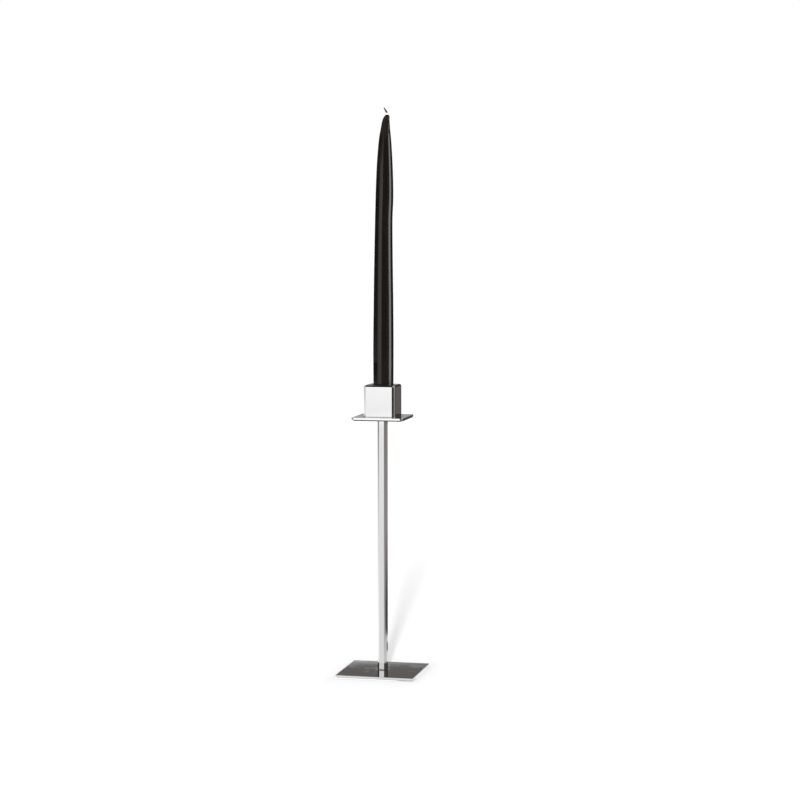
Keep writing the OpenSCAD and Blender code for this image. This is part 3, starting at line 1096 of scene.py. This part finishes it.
# (first bearing, last bearing, softness), then the stops up the panel; later panels cover earlier
PANELS = (
    # the dim room, the white table below it and the pale ceiling above
    ((40, 420, 1), UNDER_TABLE + (
        (-73, 0.7), (-25, 0.45), (-14, 0.5), (-12.2, 0.8), (-11.1, 0.63), (-10.75, 0.6),
        (-10.5, 0.1), (-9.9, 0.1), (-9.1, 0.17), (-7.9, 0.29), (-6.6, 0.26), (-5.3, 0.2),
        (-5.18, 0.12), (-3, 0.12), (6, 0.08), (11, 0.06), (15, 0.22), (35, 0.42),
    ) + PALE_CEILING),
    # grey card on the right
    ((75, 122, 2), UNDER_TABLE + (
        (-73, 0.7), (-25, 0.7), (-14, 0.75), (-12.2, 0.8), (-11.1, 0.63), (-10.75, 0.6),
        (-10.5, 0.1), (-9.9, 0.1), (-9.1, 0.2), (-7.9, 0.29), (-6.6, 0.27), (-5.3, 0.24),
        (-5.18, 0.28), (-3, 0.28), (4.9, 0.21), (5.0, 0.04), (5.4, 0.04), (5.5, 0.2), (6, 0.2),
        (11, 0.06), (15, 0.18), (35, 0.35),
    ) + PALE_CEILING),
    # darker side beyond it
    ((121, 159, 2), UNDER_TABLE + (
        (-73, 0.5), (-25, 0.3), (-14, 0.4), (-12.2, 0.8), (-11.1, 0.6), (-10.75, 0.62),
        (-10.45, 0.05), (-9.9, 0.045), (-9.1, 0.12), (-7.9, 0.27), (-6.6, 0.26), (-5.3, 0.26),
        (-5.18, 0.02), (-3, 0.02), (6, 0.03), (11, 0.03), (15, 0.16), (35, 0.35),
    ) + PALE_CEILING),
    # what the right-hand faces show, with a dark mark low down, and the dark gap above it
    ((159, 181, 2), UNDER_TABLE + (
        (-73, 0.6), (-28, 0.5), (-24, 0.07), (-12.8, 0.07), (-12.1, 0.95), (-11.05, 0.8),
        (-10.98, 0.1), (-10.83, 0.1), (-10.76, 0.7), (-10.68, 0.7), (-10.57, 0.06), (-9.9, 0.05),
        (-9.1, 0.12), (-7.9, 0.27), (-5.42, 0.26), (-5.3, 0.05), (-5.2, 0.05), (-5.16, 0.11),
        (-3.5, 0.11), (4, 0.05), (13, 0.03), (22, 0.04), (40, 0.34),
    ) + CEILING),
    # backdrop behind the object: dark where the drip plate's lower bevel shows it, bright up to a
    # sharp edge, and a high bounce card over it
    ((181, 206, 2), UNDER_TABLE + (
        (-73, 0.7), (-25, 0.55), (-14.2, 0.6), (-13.8, 0.06), (-12.4, 0.06), (-12, 0.95),
        (-5.3, 0.5), (-3, 0.3), (4.2, 0.6), (4.345, 0.6), (4.362, 0.03), (5.0, 0.03),
        (5.09, 0.36), (5.16, 0.37), (5.21, 0.49), (5.4, 0.4), (8, 0.4), (11.25, 0.5),
        (11.35, 0.112), (12.5, 0.112), (13, 0.02), (22, 0.04), (30, 0.5), (52, 0.5),
    ) + CEILING),
    # white wall along the left
    ((206, 342, 4), LEFT_WALL + (
        (-4.35, 1.02), (6, 1.0), (9, 0.1), (12.8, 0.05), (17, 0.3), (45, 0.5),
    ) + DARK_CEILING),
    # dark gap in that wall, at the height of the candle
    ((202, 304, 2), LEFT_WALL + (
        (-4.4, 0.8), (-4.25, 0.0), (4.95, 0.0), (5.05, 1.0), (5.35, 1.0), (5.5, 0.03),
        (12.8, 0.03), (17, 0.3), (45, 0.5),
    ) + DARK_CEILING),
    # softbox at the front left
    ((337, 349.2, 0.8), UNDER_TABLE + (
        (-73, 0.9), (-25, 0.85), (-14, 0.85), (-11.5, 0.83), (-8, 0.88), (-5.32, 0.98),
        (-5.28, 1.5), (-5.22, 1.5), (-5.19, 1.03), (-4.4, 1.12), (-4.3, 1.2), (6, 1.2),
        (10, 0.95), (11, 0.86), (12.5, 0.84), (16, 0.3), (35, 0.5),
    ) + DARK_CEILING),
    # the dark side where the camera stands
    ((349.2, 411, 0.8), UNDER_TABLE + (
        (-73, 0.5), (-25, 0.3), (-14, 0.4), (-12, 0.85), (-11.2, 0.65), (-10.8, 0.52),
        (-10.4, 0.44), (-10, 0.38), (-9.2, 0.38), (-7.9, 0.31), (-6.6, 0.27), (-5.3, 0.21),
        (-5.18, 0.03), (6, 0.03), (11, 0.03), (15, 0.2), (35, 0.4),
    ) + PALE_CEILING),
)


def studio():
    """A white world to the camera, an even soft light, and the panels in every reflection."""
    world = bpy.data.worlds.new("studio")
    scene.world = world
    world.use_nodes = True
    s = Shader(world.node_tree)
    x, y, z = s.apart(s.node("ShaderNodeTexCoord").outputs["Generated"])
    around_z = s.math("ARCTAN2", x, s.math("MULTIPLY", y, -1))
    bearing = s.math("MULTIPLY", around_z, IN_DEGREES)
    turn = s.math("FLOORED_MODULO", s.math("SUBTRACT", bearing, BEARING_CUT), FULL_TURN)
    turn = s.math("ADD", turn, BEARING_CUT)
    height = s.math("MULTIPLY", s.math("ARCSINE", z), IN_DEGREES)

    def window(low, high, soft):
        """1 between two bearings, with soft ends."""
        rise = s.ramp(turn, low - soft, low + soft)
        fall = s.ramp(turn, high - soft, high + soft, 1.0, 0.0)
        return s.math("MULTIPLY", rise, fall)

    def level_up(stops):
        """Level that changes with height, by straight lines between the stops."""
        level = stops[0][1]
        for (low, before), (high, after) in zip(stops, stops[1:]):
            if after != before:
                change = s.ramp(height, low, high, 0.0, after - before, smooth=False)
                level = s.math("ADD", change, level)
        return level

    light = level_up(PANELS[0][1])
    for (low, high, soft), stops in PANELS[1:]:
        light = s.blend(window(low, high, soft), light, level_up(stops))
    tint = s.mix(s.ramp(light, DIM_LEVEL, BRIGHT_LEVEL), DIM_TINT, NO_TINT)

    def background(colour):
        made = s.node("ShaderNodeBackground")
        s.put(made.inputs["Color"], colour)
        return made.outputs[0]

    def choose(ray, other, chosen):
        """One background for rays of a kind, and another for the rest."""
        made = s.node("ShaderNodeMixShader")
        for socket, value in zip(made.inputs, (ray, other, chosen)):
            s.put(socket, value)
        return made.outputs[0]

    path = s.node("ShaderNodeLightPath")
    reflected = background(s.vector("SCALE", tint, light))
    lit = choose(path.outputs["Is Glossy Ray"], background(SOFT_LIGHT), reflected)
    whole = choose(path.outputs["Is Camera Ray"], lit, background(WHITE_SEEN))
    out = s.node("ShaderNodeOutputWorld")
    s.put(out.inputs["Surface"], whole)


studio()

CARD_STEPS = 24
CARD_LOW = RIM_Z - 13 * MM


def card(name, low_turn, high_turn, radius, high, level):
    """An upright curved card round the candle, which only reflections show."""
    vertices = []
    for z in (CARD_LOW, high):
        for i in range(CARD_STEPS + 1):
            turn = math.radians(low_turn + (high_turn - low_turn) * i / CARD_STEPS)
            vertices.append((radius * math.sin(turn), -radius * math.cos(turn), z))
    size = CARD_STEPS + 1
    faces = [(i, i + 1, i + 1 + size, i + size) for i in range(CARD_STEPS)]
    piece = new_object(name, vertices, faces)
    made = bpy.data.materials.new(name + "_glow")
    made.use_nodes = True
    s = Shader(made.node_tree)
    out = s.node("ShaderNodeOutputMaterial")
    glow = s.node("ShaderNodeEmission")
    glow.inputs["Strength"].default_value = level
    s.put(out.inputs["Surface"], glow.outputs[0])
    finish(piece, made)
    piece.visible_camera = False
    piece.visible_diffuse = False
    piece.visible_transmission = False
    piece.visible_shadow = False


card("flag_left", low_turn=-56, high_turn=-144, radius=0.18, high=RIM_Z + 10 * MM, level=0.0)
card("strip_right", low_turn=79, high_turn=107, radius=0.185, high=TIP_Z + 18 * MM, level=3.9)

# ---------- soft key light, for the shadow ----------

KEY_TURN = math.radians(9.5)
KEY_RISE = math.radians(18)
KEY_ENERGY = 2.71
KEY_SPREAD = math.radians(3)

key_data = bpy.data.lights.new("key", "SUN")
key_data.energy = KEY_ENERGY
key_data.angle = KEY_SPREAD
key = bpy.data.objects.new("key", key_data)
scene.collection.objects.link(key)
aim(key, way_down(KEY_TURN, KEY_RISE))
key.visible_glossy = False
